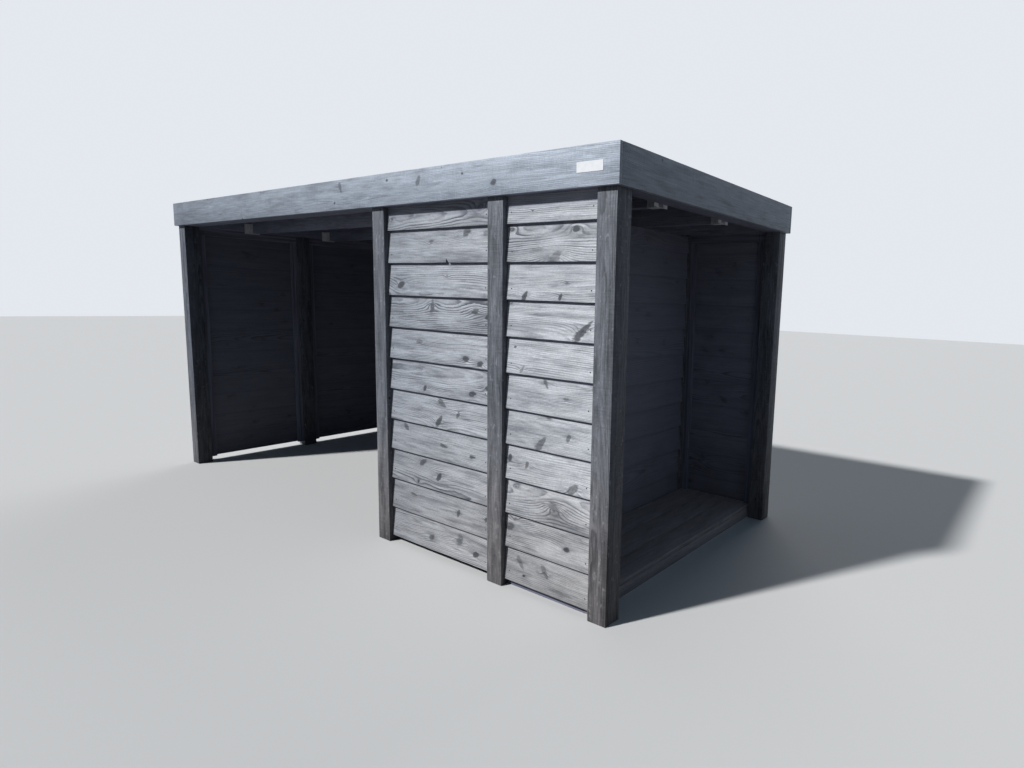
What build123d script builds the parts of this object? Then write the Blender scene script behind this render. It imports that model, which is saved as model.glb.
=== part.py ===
from build123d import *
import math
import os

# Timber bike shelter: an open bay on the left, a clad front on the right of it, and a narrow
# store behind that is open at the right end. Millimetres, +Z up, +X to the right along the
# front, +Y towards the back. The origin is on the ground at the middle of the plan.

os.makedirs("parts", exist_ok=True)

# Outside of the roof edge
LENGTH = 4324
DEPTH = 1914
HEIGHT = 2083

# Roof edge boards
FASCIA_HEIGHT = 170
FASCIA_THICKNESS = 22
FASCIA_PROUD = 22

# Posts, and the clear widths between those of the front and the back
POST_SIDE = 105
BAY_OPENING = 2486
WIDE_PANEL = 822

# Lapped cladding: bevelled boards, thick at the lower edge
BOARD_PITCH = 175
BOARD_WIDTH = 195
BOARD_BUTT = 25
BOARD_TIP = 12
BOARD_RECESS = 20
GROUND_GAP = 37

# Battens and top rail that the boards of each panel are nailed to
BATTEN_WIDTH = 45
BATTEN_THICKNESS = 32
RAIL_HEIGHT = 59
RAIL_CLEARANCE = 2

# Roof
BEAM_HEIGHT = 105
PURLIN_WIDTH = 45
PURLIN_HEIGHT = 120
FRONT_PURLIN_PLACE = 521
PURLIN_SPACING = 667
DECK_THICKNESS = 18
COVERING_THICKNESS = 3

# Steel hangers that carry the purlin ends
HANGER_STEEL = 2.5
HANGER_HEIGHT = 82
HANGER_LENGTH = 65
HANGER_FLANGE = 34

# Low floor of the end store
FLOOR_TOP = 88
FLOOR_BOARD = 28
FLOOR_CLEARANCE = 3
FLOOR_SETBACK = 8
BEARER_WIDTH = 45
BEARER_COUNT = 4

# Blank plate on the front roof edge
PLATE_WIDTH = 140
PLATE_HEIGHT = 43
PLATE_THICKNESS = 1
PLATE_FROM_RIGHT = 82
PLATE_BELOW_TOP = 68

# Outer faces of the roof edge
LEFT = -LENGTH / 2
RIGHT = LENGTH / 2
FRONT = -DEPTH / 2
BACK = DEPTH / 2

# Outer faces of the posts
POSTS_LEFT = LEFT + FASCIA_PROUD
POSTS_RIGHT = RIGHT - FASCIA_PROUD
POSTS_FRONT = FRONT + FASCIA_PROUD
POSTS_BACK = BACK - FASCIA_PROUD

# Inner faces of the posts
INSIDE_LEFT = POSTS_LEFT + POST_SIDE
INSIDE_RIGHT = POSTS_RIGHT - POST_SIDE
INSIDE_FRONT = POSTS_FRONT + POST_SIDE
INSIDE_BACK = POSTS_BACK - POST_SIDE

# Low X side of each post of the front and the back
LEFT_POST_X = POSTS_LEFT
BAY_POST_X = INSIDE_LEFT + BAY_OPENING
MIDDLE_POST_X = BAY_POST_X + POST_SIDE + WIDE_PANEL
RIGHT_POST_X = INSIDE_RIGHT
REAR_WALL_POST_X = (INSIDE_LEFT + BAY_POST_X - POST_SIDE) / 2
SIDE_POST_Y = (INSIDE_FRONT + INSIDE_BACK - POST_SIDE) / 2

# Right face of the partition's posts, towards the end store
PARTITION_FACE = MIDDLE_POST_X + POST_SIDE

# Levels
POST_TOP = HEIGHT - FASCIA_HEIGHT
BEAM_TOP = POST_TOP + BEAM_HEIGHT
PURLIN_UNDERSIDE = BEAM_TOP - PURLIN_HEIGHT
FLOOR_UNDERSIDE = FLOOR_TOP - FLOOR_BOARD
DECK_TOP = BEAM_TOP + DECK_THICKNESS
COVERING_TOP = DECK_TOP + COVERING_THICKNESS

# Beams lie against the inner face of the roof edge boards
BEAMS_LEFT = LEFT + FASCIA_THICKNESS
BEAMS_RIGHT = RIGHT - FASCIA_THICKNESS
BEAMS_FRONT = FRONT + FASCIA_THICKNESS
BEAMS_BACK = BACK - FASCIA_THICKNESS


def block(x, y, z):
    """A box from pairs of low and high values."""
    size = Box(x[1] - x[0], y[1] - y[0], z[1] - z[0])
    middle = ((x[0] + x[1]) / 2, (y[0] + y[1]) / 2, (z[0] + z[1]) / 2)
    return Pos(*middle) * size


def post(x, y, top=POST_TOP):
    """A square post from the ground to what it carries."""
    return block((x, x + POST_SIDE), (y, y + POST_SIDE), (0, top))


def board_thickness(above_edge):
    """Thickness of a bevelled board at a height above its lower edge."""
    return BOARD_BUTT - (BOARD_BUTT - BOARD_TIP) * above_edge / BOARD_WIDTH


def lapped_profile(top):
    """Thickness and height of each corner of the cladding's saw-tooth section."""
    rows = math.ceil((top - GROUND_GAP) / BOARD_PITCH)
    corners = [(0, GROUND_GAP)]
    for row in range(rows):
        lower = GROUND_GAP + row * BOARD_PITCH
        upper = min(lower + BOARD_PITCH, top)
        corners.append((BOARD_BUTT, lower))
        corners.append((board_thickness(upper - lower), upper))
    corners.append((0, top))
    return corners


def cladding(along, run, face, outward, top=POST_TOP):
    """Lapped boards between two posts, with their lower edges on the given face."""
    back = face - outward * BOARD_BUTT
    corners = []
    for thickness, height in lapped_profile(top):
        across = back + outward * thickness
        if along == "x":
            corners.append((run[0], across, height))
        else:
            corners.append((across, run[0], height))
    direction = (1, 0, 0) if along == "x" else (0, 1, 0)
    section = make_face(Polyline(corners, close=True))
    return extrude(section, amount=run[1] - run[0], dir=direction)


def battens(along, run, face, outward, foot=GROUND_GAP, top=POST_TOP):
    """Two battens beside the posts and a top rail between them, on the back of the boards."""
    near = face - outward * BOARD_BUTT
    far = near - outward * BATTEN_THICKNESS
    across = (min(near, far), max(near, far))
    first = (run[0], run[0] + BATTEN_WIDTH)
    last = (run[1] - BATTEN_WIDTH, run[1])
    pieces = []
    for span, levels in (
        (first, (foot, top)),
        (last, (foot, top)),
        ((first[1] + RAIL_CLEARANCE, last[0] - RAIL_CLEARANCE), (top - RAIL_HEIGHT, top)),
    ):
        if along == "x":
            pieces.append(block(span, across, levels))
        else:
            pieces.append(block(across, span, levels))
    return pieces


def hanger(face, inward, middle):
    """A folded steel hanger on a beam's inner face: a saddle under the purlin's end, two cheeks, two flanges."""
    half = PURLIN_WIDTH / 2
    outer = half + HANGER_STEEL
    bottom = PURLIN_UNDERSIDE - HANGER_STEEL
    top = bottom + HANGER_HEIGHT
    reach = sorted((face, face + inward * HANGER_LENGTH))
    plate = sorted((face, face + inward * HANGER_STEEL))
    saddle = block(reach, (middle - outer, middle + outer), (bottom, PURLIN_UNDERSIDE))
    for side in (-1, 1):
        cheek = sorted((middle + side * half, middle + side * outer))
        flange = sorted((middle + side * half, middle + side * (outer + HANGER_FLANGE)))
        saddle += block(reach, cheek, (bottom, top))
        saddle += block(plate, flange, (bottom, top))
    return saddle


parts = {}

# Posts
for name, x in (
    ("left", LEFT_POST_X),
    ("bay", BAY_POST_X),
    ("middle", MIDDLE_POST_X),
    ("right", RIGHT_POST_X),
):
    parts[f"front_{name}_post"] = post(x, POSTS_FRONT)
    parts[f"rear_{name}_post"] = post(x, INSIDE_BACK)
parts["left_wall_post"] = post(POSTS_LEFT, SIDE_POST_Y)
parts["rear_wall_post"] = post(REAR_WALL_POST_X, INSIDE_BACK)
parts["partition_post"] = post(MIDDLE_POST_X, SIDE_POST_Y, PURLIN_UNDERSIDE)

# Beams on the posts, flush with the inner faces of the posts
beam_levels = (POST_TOP, BEAM_TOP)
parts["front_beam"] = block((BEAMS_LEFT, BEAMS_RIGHT), (BEAMS_FRONT, INSIDE_FRONT), beam_levels)
parts["rear_beam"] = block((BEAMS_LEFT, BEAMS_RIGHT), (INSIDE_BACK, BEAMS_BACK), beam_levels)
parts["left_beam"] = block((BEAMS_LEFT, INSIDE_LEFT), (INSIDE_FRONT, INSIDE_BACK), beam_levels)
parts["right_beam"] = block((INSIDE_RIGHT, BEAMS_RIGHT), (INSIDE_FRONT, INSIDE_BACK), beam_levels)

# Two purlins from end beam to end beam, over the partition, in hangers
hangers = []
for number, name in enumerate(("front_purlin", "rear_purlin")):
    middle = FRONT + FRONT_PURLIN_PLACE + number * PURLIN_SPACING
    across = (middle - PURLIN_WIDTH / 2, middle + PURLIN_WIDTH / 2)
    run = (INSIDE_LEFT + HANGER_STEEL, INSIDE_RIGHT - HANGER_STEEL)
    parts[name] = block(run, across, (PURLIN_UNDERSIDE, BEAM_TOP))
    hangers.append(hanger(INSIDE_LEFT, 1, middle))
    hangers.append(hanger(INSIDE_RIGHT, -1, middle))
parts["purlin_hangers"] = Compound(hangers)

# Roof
roof_x = (BEAMS_LEFT, BEAMS_RIGHT)
roof_y = (BEAMS_FRONT, BEAMS_BACK)
parts["roof_deck"] = block(roof_x, roof_y, (BEAM_TOP, DECK_TOP))
parts["roof_covering"] = block(roof_x, roof_y, (DECK_TOP, COVERING_TOP))

# Roof edge boards: the long ones cover the ends of the short ones
fascia_levels = (POST_TOP, HEIGHT)
parts["front_fascia"] = block((LEFT, RIGHT), (FRONT, BEAMS_FRONT), fascia_levels)
parts["rear_fascia"] = block((LEFT, RIGHT), (BEAMS_BACK, BACK), fascia_levels)
parts["left_fascia"] = block((LEFT, BEAMS_LEFT), roof_y, fascia_levels)
parts["right_fascia"] = block((BEAMS_RIGHT, RIGHT), roof_y, fascia_levels)

# Blank plate on the front roof edge
plate_right = RIGHT - PLATE_FROM_RIGHT
plate_top = HEIGHT - PLATE_BELOW_TOP
parts["blank_plate"] = block(
    (plate_right - PLATE_WIDTH, plate_right),
    (FRONT - PLATE_THICKNESS, FRONT),
    (plate_top - PLATE_HEIGHT, plate_top),
)

# Stretches between the posts, and the faces that the lower board edges lie on
wide_run = (BAY_POST_X + POST_SIDE, MIDDLE_POST_X)
narrow_run = (MIDDLE_POST_X + POST_SIDE, RIGHT_POST_X)
bay_left_run = (INSIDE_LEFT, REAR_WALL_POST_X)
bay_right_run = (REAR_WALL_POST_X + POST_SIDE, BAY_POST_X)
side_front_run = (INSIDE_FRONT, SIDE_POST_Y)
side_rear_run = (SIDE_POST_Y + POST_SIDE, INSIDE_BACK)
front_face = POSTS_FRONT + BOARD_RECESS
rear_face = POSTS_BACK - BOARD_RECESS
left_face = POSTS_LEFT + BOARD_RECESS

# Cladding
parts["front_wide_panel"] = cladding("x", wide_run, front_face, -1)
parts["front_narrow_panel"] = cladding("x", narrow_run, front_face, -1)
parts["rear_bay_left_panel"] = cladding("x", bay_left_run, rear_face, 1)
parts["rear_bay_right_panel"] = cladding("x", bay_right_run, rear_face, 1)
parts["rear_wide_panel"] = cladding("x", wide_run, rear_face, 1)
parts["rear_narrow_panel"] = cladding("x", narrow_run, rear_face, 1)
parts["left_wall_front_panel"] = cladding("y", side_front_run, left_face, -1)
parts["left_wall_rear_panel"] = cladding("y", side_rear_run, left_face, -1)
partition_top = PURLIN_UNDERSIDE
parts["partition_front_panel"] = cladding("y", side_front_run, PARTITION_FACE, 1, partition_top)
parts["partition_rear_panel"] = cladding("y", side_rear_run, PARTITION_FACE, 1, partition_top)

# Battens and top rails behind the cladding; those of the end store stand on its floor
front_battens = battens("x", wide_run, front_face, -1)
front_battens += battens("x", narrow_run, front_face, -1, foot=FLOOR_TOP)
rear_battens = battens("x", narrow_run, rear_face, 1, foot=FLOOR_TOP)
for run in (bay_left_run, bay_right_run, wide_run):
    rear_battens += battens("x", run, rear_face, 1)
left_battens = []
partition_battens = []
for run in (side_front_run, side_rear_run):
    left_battens += battens("y", run, left_face, -1)
    partition_battens += battens("y", run, PARTITION_FACE, 1, top=partition_top)
parts["front_wall_battens"] = Compound(front_battens)
parts["rear_wall_battens"] = Compound(rear_battens)
parts["left_wall_battens"] = Compound(left_battens)
parts["partition_battens"] = Compound(partition_battens)

# Low floor of the end store, from the partition to just inside the right posts:
# boards on cross bearers, with an edge joist along the open side
floor_left = PARTITION_FACE + FLOOR_CLEARANCE
floor_right = INSIDE_RIGHT - FLOOR_SETBACK
joist_left = floor_right - BEARER_WIDTH
floor_front = front_face + BOARD_BUTT + FLOOR_CLEARANCE
floor_back = rear_face - BOARD_BUTT - FLOOR_CLEARANCE
bearer_step = (floor_back - floor_front - BEARER_WIDTH) / (BEARER_COUNT - 1)
bearers = []
for number in range(BEARER_COUNT):
    start = floor_front + number * bearer_step
    bearers.append(block((floor_left, joist_left), (start, start + BEARER_WIDTH), (0, FLOOR_UNDERSIDE)))
parts["store_floor"] = block((floor_left, floor_right), (floor_front, floor_back), (FLOOR_UNDERSIDE, FLOOR_TOP))
parts["store_floor_bearers"] = Compound(bearers)
parts["store_floor_edge"] = block((joist_left, floor_right), (floor_front, floor_back), (0, FLOOR_UNDERSIDE))

for name, shape in parts.items():
    export_step(shape, f"parts/{name}.step")
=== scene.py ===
import bmesh
import bpy
import math
import random
from mathutils import Matrix, Vector


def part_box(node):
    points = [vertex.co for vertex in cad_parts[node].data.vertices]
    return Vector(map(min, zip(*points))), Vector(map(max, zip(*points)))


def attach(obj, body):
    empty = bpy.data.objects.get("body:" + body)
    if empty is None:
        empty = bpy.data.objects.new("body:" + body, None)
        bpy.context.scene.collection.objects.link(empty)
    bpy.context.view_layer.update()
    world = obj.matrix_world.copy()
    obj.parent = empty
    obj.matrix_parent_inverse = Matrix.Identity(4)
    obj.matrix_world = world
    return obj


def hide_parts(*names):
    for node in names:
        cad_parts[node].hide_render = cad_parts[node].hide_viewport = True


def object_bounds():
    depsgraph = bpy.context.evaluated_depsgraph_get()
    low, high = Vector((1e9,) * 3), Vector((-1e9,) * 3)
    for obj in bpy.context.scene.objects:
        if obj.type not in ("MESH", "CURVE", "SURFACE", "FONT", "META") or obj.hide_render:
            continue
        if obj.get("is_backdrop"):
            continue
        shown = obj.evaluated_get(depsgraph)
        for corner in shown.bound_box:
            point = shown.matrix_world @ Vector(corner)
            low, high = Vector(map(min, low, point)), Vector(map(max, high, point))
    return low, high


# Timber bike shelter with lapped, black-stained boards that have weathered to grey.
# Metres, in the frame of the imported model: +X to the right along the front, +Y to the back, +Z up.

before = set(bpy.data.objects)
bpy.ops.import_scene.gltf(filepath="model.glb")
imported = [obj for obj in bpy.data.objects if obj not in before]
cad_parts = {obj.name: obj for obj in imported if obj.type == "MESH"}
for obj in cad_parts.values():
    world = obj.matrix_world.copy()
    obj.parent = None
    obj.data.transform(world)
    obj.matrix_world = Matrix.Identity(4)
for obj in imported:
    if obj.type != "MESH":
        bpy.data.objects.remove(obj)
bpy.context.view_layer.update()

# Lapped boards: bevelled, with a rebate at the back of the thick lower edge
BOARD_WIDTH = 0.194
BOARD_COVER = 0.175
BOARD_BUTT = 0.025
BOARD_TIP = 0.009
LAP = BOARD_WIDTH - BOARD_COVER
END_GAP = 0.0015
BOARD_CUTS = 9
BUTT_ARRIS = 0.0016
BOARD_ARRIS = 0.0007

# Nails
NAIL_RADIUS = 0.0034
NAIL_HEAD = 0.0009
NAIL_FROM_END = 0.033
NAIL_ABOVE_EDGE = 0.050

# Edges of the timbers, and how many cuts their length gets so that they can be uneven
POST_ARRIS = 0.003
BEAM_ARRIS = 0.002
FASCIA_ARRIS = 0.0025
FLOOR_ARRIS = 0.0025
POST_CUTS = 12
FASCIA_CUTS = 30
FLOOR_CUTS = 8
# A split or a chip moves the corners that lie this near the edge
EDGE_BAND = 0.004
# Faces that meet at less than this many degrees are shaded smooth
SMOOTH_ANGLE = 35

# Unevenness of sawn timber, and the length of its waves
BOARD_UNEVEN = 0.0022
POST_UNEVEN = 0.0012
FASCIA_UNEVEN = 0.001
BOARD_WAVE = 0.22
TIMBER_WAVE = 0.3

# Roof, plate, floor and the top rail of the battens
DECK_GROOVE = 0.004
DECK_PLANK = 0.133
FLOOR_JOINTS = (0.190, 0.373)
FLOOR_GAP = 0.004
RAIL_HEIGHT = 0.059
SHEET_TURN = 0.012
SHEET_UPSTAND = 0.026
PLATE_CORNER = 0.002

# How far the weather has reached the faces that it doesn't strike, from 0 to 1
BACK_WEATHERING = 0.2
SHELTERED_WEATHERING = 0.1
# Above this figure a board is cut near the pith and shows broad arches
BOLD_FIGURE = 0.55

chance = random.Random(41)


# Modelling helpers

def clear_selection():
    """Nothing selected, object mode."""
    if bpy.context.object and bpy.context.object.mode != "OBJECT":
        bpy.ops.object.mode_set(mode="OBJECT")
    bpy.ops.object.select_all(action="DESELECT")


def select_only(piece):
    """One piece selected and active, object mode."""
    clear_selection()
    piece.select_set(True)
    bpy.context.view_layer.objects.active = piece


def name_piece(piece, name):
    """The same name on an object and its mesh."""
    piece.name = name
    piece.data.name = name
    return piece


def apply_place(piece):
    """Puts the object's place and size into its mesh."""
    bpy.ops.object.transform_apply(location=True, rotation=True, scale=True)
    return piece


def start_block(low, high):
    """A block primitive at its size and place."""
    clear_selection()
    low = Vector(low)
    high = Vector(high)
    bpy.ops.mesh.primitive_cube_add(size=1, location=(low + high) / 2)
    piece = bpy.context.object
    piece.scale = high - low
    return apply_place(piece)


def edit(piece, kind="EDGE"):
    """Edit mode on one piece, with nothing selected in it."""
    select_only(piece)
    bpy.ops.object.mode_set(mode="EDIT")
    bpy.ops.mesh.select_mode(type=kind)
    bpy.ops.mesh.select_all(action="DESELECT")


def leave_edit():
    """Back to object mode."""
    bpy.ops.object.mode_set(mode="OBJECT")


def pick_verts(piece, test):
    """Selects the vertices whose place passes the test."""
    mesh = bmesh.from_edit_mesh(piece.data)
    for vert in mesh.verts:
        vert.select = bool(test(vert.co))
    mesh.select_flush_mode()
    bmesh.update_edit_mesh(piece.data)


def pick_edges(piece, test):
    """Selects the edges whose two ends pass the test together."""
    mesh = bmesh.from_edit_mesh(piece.data)
    for edge in mesh.edges:
        edge.select = bool(test(edge.verts[0].co, edge.verts[1].co))
    mesh.select_flush_mode()
    bmesh.update_edit_mesh(piece.data)


def pick_faces(piece, test):
    """Selects the faces whose middle and normal pass the test."""
    mesh = bmesh.from_edit_mesh(piece.data)
    for face in mesh.faces:
        face.select = bool(test(face.calc_center_median(), face.normal))
    mesh.select_flush_mode()
    bmesh.update_edit_mesh(piece.data)


def runs_along(first, second, axis):
    """True for an edge that runs along one axis."""
    step = second - first
    return abs(step[axis]) > 0.98 * step.length


def cut_along(piece, axis, cuts):
    """Cuts every long edge along one axis into equal lengths."""
    size = piece.dimensions[axis]
    edit(piece)
    pick_edges(piece, lambda a, b: runs_along(a, b, axis) and (b - a).length > 0.6 * size)
    bpy.ops.mesh.subdivide(number_cuts=cuts)
    leave_edit()


def copy_piece(base, place=Matrix.Identity(4)):
    """A copy with its own mesh, at another place."""
    made = base.copy()
    made.data = base.data.copy()
    bpy.context.collection.objects.link(made)
    made.data.transform(place)
    return made


def remove_piece(piece):
    """Takes a pattern piece away once its copies are made."""
    bpy.data.meshes.remove(piece.data)


def join_pieces(name, pieces):
    """One piece from several."""
    clear_selection()
    for piece in pieces:
        piece.select_set(True)
    bpy.context.view_layer.objects.active = pieces[0]
    if len(pieces) > 1:
        bpy.ops.object.join()
    return name_piece(pieces[0], name)


def warp(piece, direction, strength, size, middle=0.5):
    """A gentle unevenness of sawn timber, from a cloud texture. With its middle at 1 it only goes inwards."""
    texture = bpy.data.textures.new(f"{piece.name}_warp", "CLOUDS")
    texture.noise_scale = size
    select_only(piece)
    uneven = piece.modifiers.new("uneven", "DISPLACE")
    uneven.texture = texture
    uneven.texture_coords = "LOCAL"
    uneven.direction = direction
    uneven.mid_level = middle
    uneven.strength = strength
    bpy.ops.object.modifier_apply(modifier=uneven.name)


# Timber marks: each vertex knows where it lies in its log, how far it is from the board's
# knots, and how weathered it is. The materials read these. The third number that is stored for
# a knot holds its faintness, its radius in millimetres, its stretch in fifths and its lean in
# radians. A knot is written as its place along and across, radius, lean, stretch and faintness.

NO_KNOT = (50.0, 50.0, 0.001, 0, 1.0, 0)
KNOT_NAMES = ("knot_one", "knot_two", "knot_three")
KNOT_SOCKETS = ("Knot One", "Knot Two", "Knot Three")
LEAN_SPAN = 4
STRETCH_PARTS = 5
CODE_STEPS = 25


def store(mesh, name, values):
    """A vector attribute on the vertices."""
    attribute = mesh.attributes.new(name, "FLOAT_VECTOR", "POINT")
    attribute.data.foreach_set("vector", [number for value in values for number in value])


def mark_timber(piece, axes, pith, knots=(), tone=1.0, exposed=None, ring_scale=1.0, figure=0.5):
    """Stores the marks of a timber. axes names its directions along, across and through, and pith is the
    middle of its log, across and through."""
    along, across, through = ("xyz".index(letter) for letter in axes)
    mesh = piece.data
    shift = chance.uniform(0, 40)
    places = [vert.co.copy() for vert in mesh.vertices]
    low = min(co[along] for co in places)
    floor = min(co[across] for co in places)
    grain = []
    finish = []
    for co in places:
        grain.append((
            co[along] + shift,
            (co[across] - pith[0]) * ring_scale,
            (co[through] - pith[1]) * ring_scale,
        ))
        finish.append((tone, 1.0 if exposed is None else exposed(co), figure))
    store(mesh, "grain", grain)
    store(mesh, "finish", finish)
    for number, name in enumerate(KNOT_NAMES):
        at, height, radius, lean, stretch, faint = knots[number] if number < len(knots) else NO_KNOT
        shape = round(STRETCH_PARTS * stretch) + CODE_STEPS * (round(1000 * radius) + CODE_STEPS * faint)
        store(mesh, name, [(
            (co[along] - low - at) / radius,
            (co[across] - floor - height) / radius,
            LEAN_SPAN * shape + math.radians(lean),
        ) for co in places])


def scattered_knots(length, width):
    """Up to three knots at chance places of a board."""
    knots = []
    for _ in range(chance.choice((0, 1, 2, 2, 3))):
        spike = chance.random() < 0.25
        knots.append((
            chance.uniform(0.03, 0.97) * length,
            chance.uniform(0.05, 0.9) * width,
            chance.uniform(0.005, 0.015),
            chance.uniform(30, 75) * chance.choice((-1, 1)) if spike else chance.uniform(-20, 20),
            chance.uniform(2.2, 3.2) if spike else chance.uniform(1.1, 1.5),
            chance.choice((0, 1, 1, 2)),
        ))
    return knots


# Timbers

def split_edge(piece, at, wide, rise, test, lean=0.0):
    """A V-shaped split at one place along X: the vertices there that pass the test are moved up."""
    edit(piece, "FACE")
    for place in (at - wide / 2, at + wide * lean, at + wide / 2):
        bpy.ops.mesh.select_all(action="SELECT")
        bpy.ops.mesh.bisect(plane_co=(place, 0, 0), plane_no=(1, 0, 0))
    bpy.ops.mesh.select_mode(type="VERT")
    pick_verts(piece, lambda co: abs(co.x - at - wide * lean) < 1e-4 and test(co))
    bpy.ops.transform.translate(value=(0, 0, rise))
    leave_edit()


def timber(name, low, high, arris, cuts=0, nodes=(), tone=None, uneven=0.0,
           splits=(), knots=(), figure=0.5):
    """A squared timber with eased edges. Its grain runs along its longest side."""
    piece = start_block(low, high)
    name_piece(piece, name)
    size = [high[axis] - low[axis] for axis in range(3)]
    order = sorted(range(3), key=lambda axis: -size[axis])
    edit(piece)
    pick_edges(piece, lambda a, b: True)
    bpy.ops.mesh.bevel(offset=arris, segments=2, affect="EDGES")
    leave_edit()
    if cuts:
        cut_along(piece, order[0], cuts)
    for at, wide, deep in splits:
        edge = high[2] if deep > 0 else low[2]
        split_edge(piece, at, wide, -deep, lambda co: abs(co.z - edge) < EDGE_BAND)
    if uneven:
        warp(piece, "NORMAL", uneven, TIMBER_WAVE, 1.0)
    middle = [(low[axis] + high[axis]) / 2 for axis in range(3)]
    reach = size[order[2]]
    pith = (
        middle[order[1]] + chance.uniform(-0.3, 0.3) * size[order[1]],
        middle[order[2]] + chance.choice((-1, 1)) * chance.uniform(0.2, 0.5) * (reach + 0.03),
    )
    axes = "".join("xyz"[axis] for axis in order)
    mark_timber(piece, axes, pith, knots, tone or chance.uniform(0.93, 1.07), figure=figure)
    for node in nodes:
        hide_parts(node)
    return piece


def board_thickness(height):
    """How thick a lapped board is at one height above its lower edge."""
    return BOARD_BUTT - (BOARD_BUTT - BOARD_TIP) * height / BOARD_WIDTH


REBATE = board_thickness(BOARD_COVER) + 0.0005


def on_face(co):
    """True on a board's outer face, and not on its back, its thin edge or its rebate."""
    in_rebate = co.z < LAP + 0.001 and co.y > -REBATE - 0.0005
    return co.y < 0.0005 - BOARD_TIP and not in_rebate


def lap_board(length, width):
    """A bevelled board along X: its back on Y = 0, its face towards -Y, its lower edge on Z = 0."""
    clear_selection()
    bpy.ops.mesh.primitive_plane_add(
        size=1,
        location=(0, -BOARD_BUTT / 2, width / 2),
        rotation=(math.radians(90), 0, math.radians(90)),
    )
    piece = bpy.context.object
    piece.scale = (BOARD_BUTT, width, 1)
    apply_place(piece)
    edit(piece, "FACE")
    bpy.ops.mesh.select_all(action="SELECT")
    bpy.ops.mesh.bisect(plane_co=(0, 0, LAP), plane_no=(0, 0, 1))
    pick_faces(piece, lambda middle, normal: middle.z < LAP)
    bpy.ops.mesh.bisect(plane_co=(0, -REBATE, 0), plane_no=(0, 1, 0))
    pick_faces(piece, lambda middle, normal: middle.z < LAP and middle.y > -REBATE)
    bpy.ops.mesh.delete(type="FACE")
    bpy.ops.mesh.select_mode(type="VERT")
    for height in (LAP, width):
        pick_verts(piece, lambda co: abs(co.z - height) < 1e-5 and co.y < -BOARD_BUTT + 1e-5)
        bpy.ops.transform.translate(value=(0, BOARD_BUTT - board_thickness(height), 0))
    bpy.ops.mesh.select_mode(type="FACE")
    bpy.ops.mesh.select_all(action="SELECT")
    bpy.ops.mesh.extrude_region_move(TRANSFORM_OT_translate={"value": (length, 0, 0)})
    bpy.ops.mesh.select_all(action="SELECT")
    bpy.ops.mesh.normals_make_consistent(inside=False)
    bpy.ops.mesh.select_mode(type="EDGE")
    pick_edges(piece, lambda a, b: runs_along(a, b, 0) and a.y < -REBATE - 0.001 and a.z < 0.001)
    bpy.ops.mesh.bevel(offset=BUTT_ARRIS, segments=2, affect="EDGES")
    pick_edges(piece, lambda a, b: abs(a.x - b.x) < 1e-6 and a.y + b.y < -REBATE * 2 and a.z + b.z > 0.008)
    bpy.ops.mesh.bevel(offset=BOARD_ARRIS, segments=1, affect="EDGES")
    leave_edit()
    cut_along(piece, 0, BOARD_CUTS)
    return piece


def nail():
    """A nail head on the plane Y = 0, with its face towards -Y."""
    clear_selection()
    bpy.ops.mesh.primitive_cylinder_add(
        vertices=10,
        radius=NAIL_RADIUS,
        depth=2 * NAIL_HEAD,
        rotation=(math.radians(90), 0, 0),
    )
    piece = apply_place(bpy.context.object)
    edit(piece, "FACE")
    pick_faces(piece, lambda middle, normal: normal.y < -0.9)
    bpy.ops.mesh.inset(thickness=NAIL_RADIUS * 0.3)
    bpy.ops.transform.translate(value=(0, -NAIL_HEAD * 0.4, 0))
    leave_edit()
    return piece


# Panels: node, direction that the boards face, in degrees about Z from -Y

PANELS = (
    ("front_wide_panel", 0),
    ("front_narrow_panel", 0),
    ("rear_bay_left_panel", 180),
    ("rear_bay_right_panel", 180),
    ("rear_wide_panel", 180),
    ("rear_narrow_panel", 180),
    ("left_wall_front_panel", -90),
    ("left_wall_rear_panel", -90),
    ("partition_front_panel", 90),
    ("partition_rear_panel", 90),
)

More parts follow.
